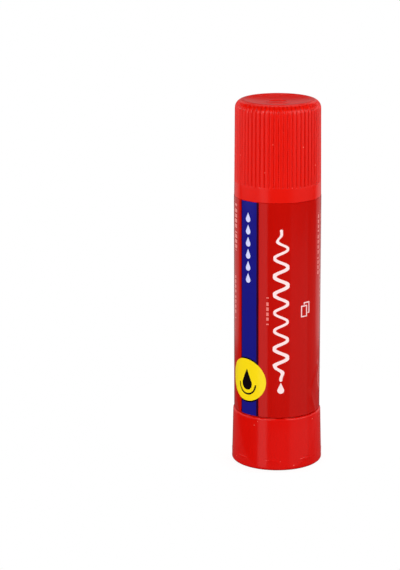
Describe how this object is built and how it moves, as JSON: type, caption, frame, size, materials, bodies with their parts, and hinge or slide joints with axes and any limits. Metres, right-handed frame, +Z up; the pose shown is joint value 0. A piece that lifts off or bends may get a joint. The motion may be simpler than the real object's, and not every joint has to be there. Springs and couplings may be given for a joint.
{
  "type": "glue stick",
  "caption": "Slim twist-up glue stick standing on its turning knob, with a striped film label and a finely ribbed, dished push-on cap.",
  "frame": {"origin": "middle of the foot, on the plane that the knob stands on", "axes": "+Z up along the barrel's axis, from the knob to the cap; -Y is the label's front and +Y its seam"},
  "size_m": [0.0212, 0.0212, 0.086],
  "materials": {
    "cap_plastic": "moulded polypropylene, glossy",
    "barrel_plastic": "moulded polypropylene, glossy",
    "label_film": "printed glossy film, red with a blue stripe and a yellow disc",
    "knob_plastic": "moulded polypropylene, satin gloss",
    "inner_plastic": "natural white moulded plastic",
    "seal_rubber": "matt soft seal",
    "glue_mass": "waxy, off-white, slightly translucent"
  },
  "bodies": {
    "barrel": {"barrel": "barrel_plastic", "label": "label_film", "seal_ring": "seal_rubber"},
    "knob": {"knob": "knob_plastic", "spindle": "inner_plastic"},
    "stick": {"carrier": "inner_plastic", "glue": "glue_mass"},
    "cap": {"cap": "cap_plastic"}
  },
  "joints": [
    {"name": "knob_turn", "type": "hinge", "parent": "barrel", "child": "knob", "pos_m": [0, 0, 0], "axis": [0, 0, 1], "range_deg": [0, 4860]},
    {"name": "stick_lift", "type": "slide", "parent": "barrel", "child": "stick", "axis": [0, 0, 1], "range_m": [0, 0.0541]},
    {"name": "cap_lift", "type": "slide", "parent": "stick", "child": "cap", "axis": [0, 0, 1], "range_m": [0, 0.03]}
  ],
  "couplings": [
    {"joint": "stick_lift", "follows": "knob_turn", "m_per_rad": 0.00063662}
  ]
}
